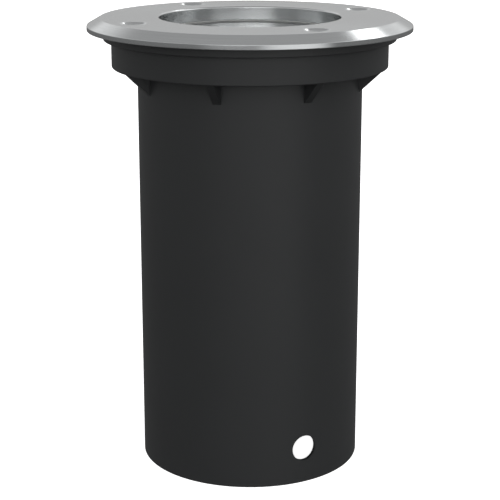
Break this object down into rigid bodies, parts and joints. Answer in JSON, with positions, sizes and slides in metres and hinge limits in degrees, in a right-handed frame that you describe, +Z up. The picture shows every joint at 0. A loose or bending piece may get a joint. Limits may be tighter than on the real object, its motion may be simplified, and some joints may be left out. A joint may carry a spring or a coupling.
{
  "type": "outdoor in-ground light",
  "caption": "Round recessed ground light: black mounting sleeve with collar and cable hole, cast lamp housing, tilting reflector lamp, thick glass and screwed stainless cover ring.",
  "frame": {"origin": "centre of the sleeve's open foot, where it stands", "axes": "+Z up along the light's axis, the ring screws on the X and Y axes, the cable hole facing -Y"},
  "size_m": [0.2, 0.2, 0.2822],
  "materials": {
    "black_plastic": "moulded, satin",
    "black_plastic_gland": "moulded, satin",
    "white_plastic": "moulded, satin",
    "stainless": "turned and brushed",
    "screw_steel": "plain stainless",
    "zinc_steel": "zinc plated sheet",
    "cast_aluminium": "cast, matt",
    "brass": "turned",
    "black_rubber": "moulded",
    "seal_rubber": "moulded silicone",
    "clear_glass": "clear, toughened",
    "lamp_glass": "clear",
    "reflector_glass": "coated reflector",
    "lamp_ceramic": "unglazed"
  },
  "bodies": {
    "sleeve": {"mounting_sleeve": "black_plastic", "threaded_inserts": "brass"},
    "housing": {"lamp_housing": "cast_aluminium", "flange_gasket": "black_rubber", "gland_body": "black_plastic_gland", "gland_washer": "black_rubber", "gland_locknut": "black_plastic_gland", "gland_seal": "black_rubber", "gland_nut": "black_plastic_gland", "terminal_plate": "zinc_steel", "plate_screws": "zinc_steel", "terminal_block": "white_plastic", "terminal_tubes": "brass", "terminal_screws": "zinc_steel", "block_screw": "zinc_steel", "earth_screw": "zinc_steel", "earth_washer": "zinc_steel"},
    "cover": {"cover_ring": "stainless", "ring_screws": "screw_steel", "cover_glass": "clear_glass", "glass_seal": "seal_rubber"},
    "swivel": {"swivel_ring": "zinc_steel", "pivot_studs": "screw_steel", "pivot_spacers": "white_plastic"},
    "cradle": {"tilt_cradle": "zinc_steel", "lamp_clip": "screw_steel", "lamp_reflector": "reflector_glass", "lamp_front_glass": "lamp_glass", "lamp_capsule": "lamp_glass", "lamp_base": "lamp_ceramic", "lamp_pins": "screw_steel", "lampholder": "lamp_ceramic", "holder_contacts": "brass", "holder_bracket": "zinc_steel", "holder_screws": "zinc_steel", "bracket_rivets": "screw_steel"}
  },
  "joints": [
    {"name": "housing_lift", "type": "slide", "parent": "sleeve", "child": "housing", "axis": [0, 0, 1], "range_m": [0, 0.2]},
    {"name": "cover_lift", "type": "slide", "parent": "housing", "child": "cover", "axis": [0, 0, 1], "range_m": [0, 0.06]},
    {"name": "lamp_swivel", "type": "hinge", "parent": "housing", "child": "swivel", "pos_m": [0, 0, 0.24], "axis": [0, 0, 1], "range_deg": [-170, 170]},
    {"name": "lamp_tilt", "type": "hinge", "parent": "swivel", "child": "cradle", "pos_m": [0, 0, 0.24], "axis": [1, 0, 0], "range_deg": [-15, 15]}
  ]
}
